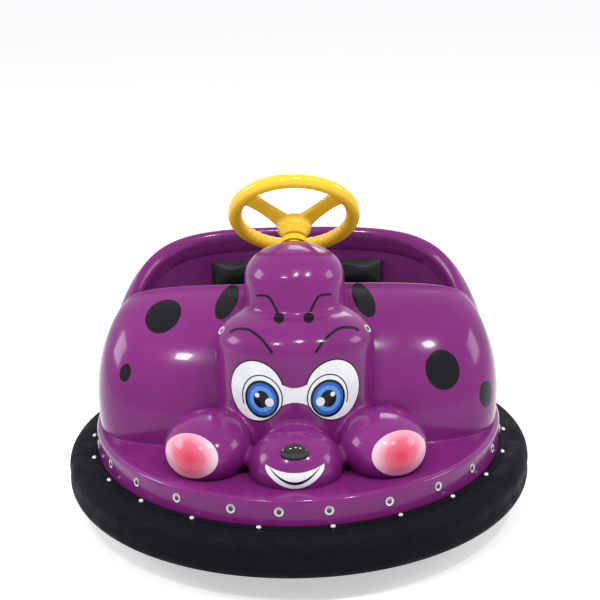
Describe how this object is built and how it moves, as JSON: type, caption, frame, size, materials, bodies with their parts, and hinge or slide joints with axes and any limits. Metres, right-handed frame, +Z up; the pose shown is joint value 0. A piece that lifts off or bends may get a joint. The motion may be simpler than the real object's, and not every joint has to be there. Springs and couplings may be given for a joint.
{
  "type": "children's bumper car",
  "caption": "Battery bumper car for children: a domed ladybird body with a face on a round deck inside a thick rubber bumper ring, with a raised steering wheel and open cockpit.",
  "frame": {"origin": "on the floor under the middle of the bounding box", "axes": "-Y is the front with the face, +Y the rear, +X the side to the right of someone facing the face, +Z up"},
  "size_m": [1, 1.2, 0.7529],
  "materials": {
    "bumper_rubber": "satin",
    "tyre_rubber": "matte",
    "body_gelcoat": "gloss",
    "liner_gelcoat": "satin gloss",
    "nose_gloss": "gloss",
    "wheel_yellow": "satin gloss",
    "seat_vinyl": "satin",
    "battery_case": "matte",
    "pedal_paint": "satin",
    "frame_steel": "satin",
    "bright_steel": "satin",
    "motor_alloy": "satin",
    "wheel_alloy": "satin"
  },
  "bodies": {
    "car": {"bumper": "bumper_rubber", "hoop": "frame_steel", "frame": "frame_steel", "battery_tray": "frame_steel", "battery_pack": "battery_case", "deck": "body_gelcoat", "floor_panel": "body_gelcoat", "body_shell": "body_gelcoat", "cockpit_liner": "liner_gelcoat", "front_moulding": "body_gelcoat", "nose": "nose_gloss", "seat_bench": "liner_gelcoat", "seat_cushion": "seat_vinyl", "back_pad": "seat_vinyl", "column_tunnel": "liner_gelcoat", "foot_pedal": "pedal_paint", "pivot_bracket": "frame_steel", "column_bearing": "bright_steel", "rear_axle": "bright_steel", "axle_bracket_left": "frame_steel", "axle_bracket_right": "frame_steel"},
    "steering_wheel": {"steering_rim": "wheel_yellow", "steering_hub": "wheel_yellow", "steering_shaft": "bright_steel"},
    "drive_fork": {"drive_fork": "frame_steel", "drive_axle": "bright_steel"},
    "drive_wheel": {"drive_tyre": "tyre_rubber", "drive_motor": "motor_alloy"},
    "rear_wheel_left": {"rear_tyre_left": "tyre_rubber", "rear_rim_left": "wheel_alloy"},
    "rear_wheel_right": {"rear_tyre_right": "tyre_rubber", "rear_rim_right": "wheel_alloy"}
  },
  "joints": [
    {"name": "steering_turn", "type": "hinge", "parent": "car", "child": "steering_wheel", "pos_m": [0, -0.038, 0.648], "axis": [0, 0.7193, 0.6947], "range_deg": [-75, 75]},
    {"name": "drive_pivot", "type": "hinge", "parent": "car", "child": "drive_fork", "pos_m": [0, -0.192, 0.075], "axis": [0, 0, 1], "range_deg": [-75, 75]},
    {"name": "drive_spin", "type": "hinge", "parent": "drive_fork", "child": "drive_wheel", "pos_m": [0, -0.192, 0.075], "axis": [1, 0, 0], "continuous": true},
    {"name": "rear_spin_left", "type": "hinge", "parent": "car", "child": "rear_wheel_left", "pos_m": [-0.25452, 0.27, 0.075], "axis": [1, 0, 0], "continuous": true},
    {"name": "rear_spin_right", "type": "hinge", "parent": "car", "child": "rear_wheel_right", "pos_m": [0.25452, 0.27, 0.075], "axis": [1, 0, 0], "continuous": true}
  ],
  "couplings": [
    {"joint": "steering_turn", "follows": "drive_pivot", "ratio": 1}
  ]
}
